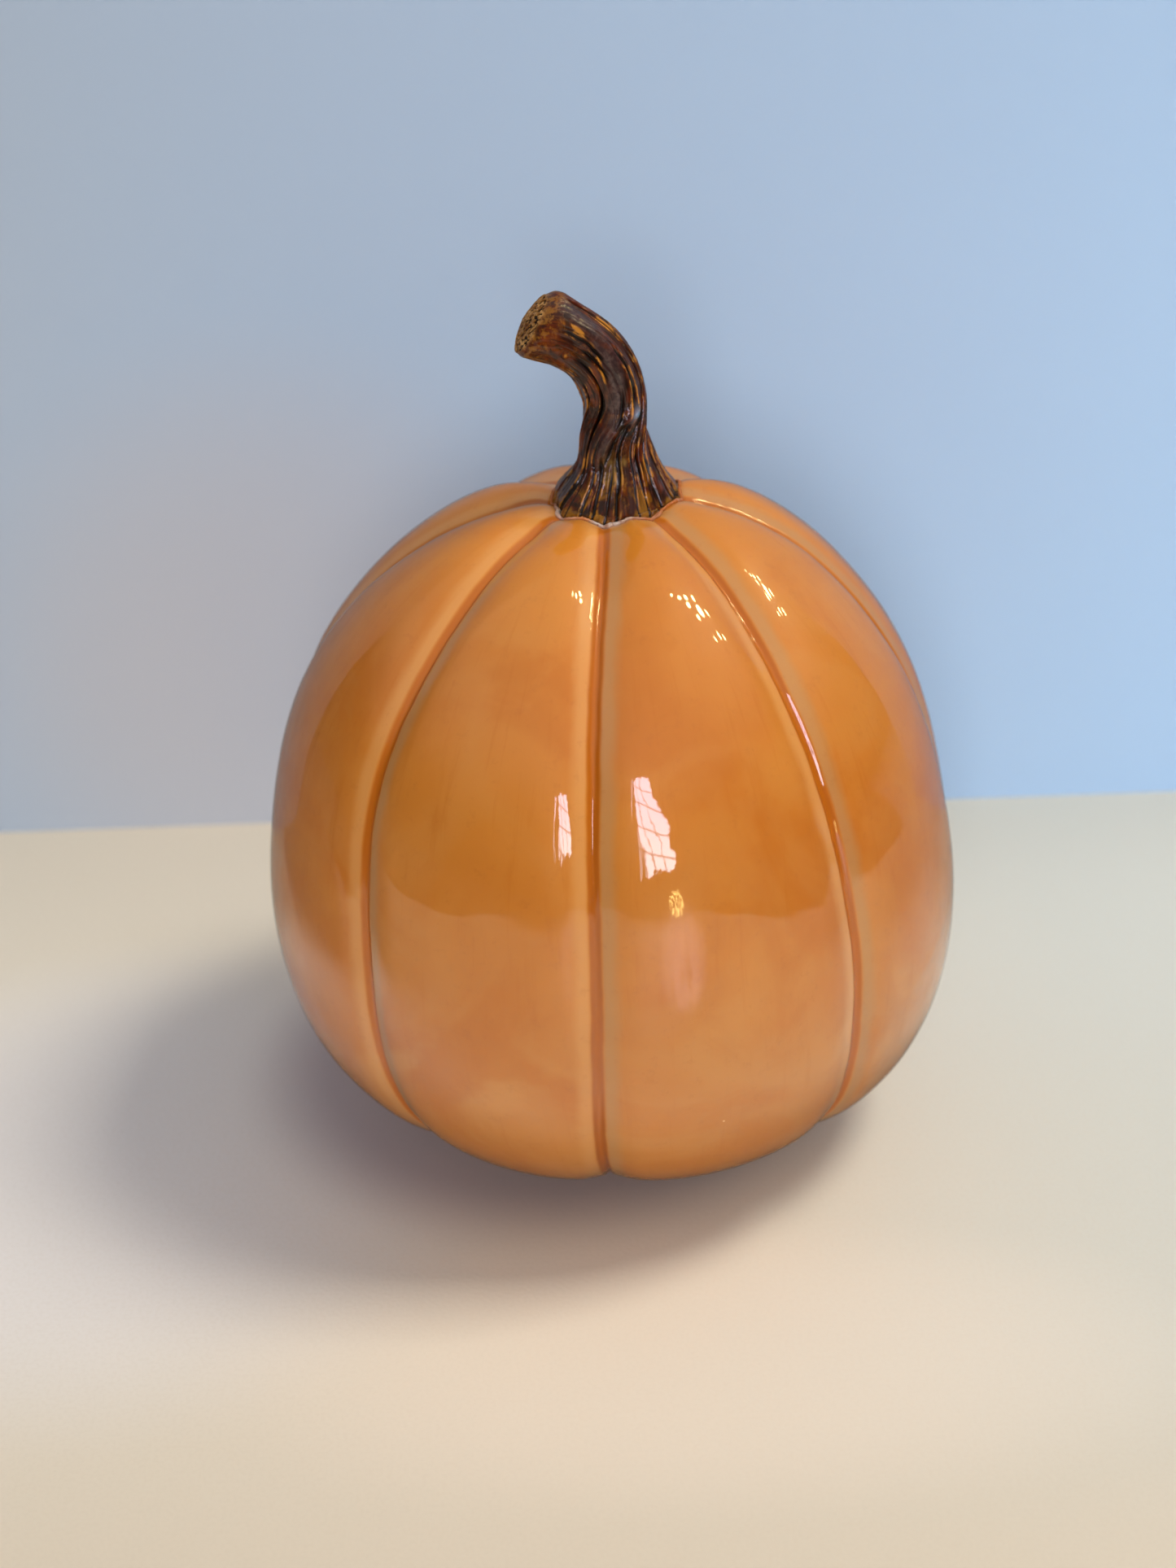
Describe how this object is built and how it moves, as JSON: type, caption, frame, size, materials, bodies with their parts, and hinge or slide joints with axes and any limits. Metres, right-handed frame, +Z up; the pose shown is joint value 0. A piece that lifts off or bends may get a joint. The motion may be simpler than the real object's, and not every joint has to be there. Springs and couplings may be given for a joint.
{
  "type": "ceramic pumpkin figure",
  "caption": "Hollow ribbed ceramic pumpkin with a glossy orange glaze and a separate curved brown stem joined on top; free-standing seasonal ornament.",
  "frame": {"origin": "centre of the whole object's plan outline on the table plane, under the body", "axes": "+Z up; the stem leans toward -X; -Y is the side with the central groove that faces a viewer"},
  "size_m": [0.1796, 0.178, 0.2229],
  "materials": {
    "bisque_clay": "matte",
    "orange_glaze": "gloss",
    "stem_clay": "matte",
    "brown_glaze": "gloss",
    "pale_slip": "matte"
  },
  "bodies": {
    "root": {"pumpkin_shell": "bisque_clay", "orange_glaze": "orange_glaze", "stem": "stem_clay", "brown_glaze": "brown_glaze", "luting_slip": "pale_slip"}
  },
  "joints": []
}
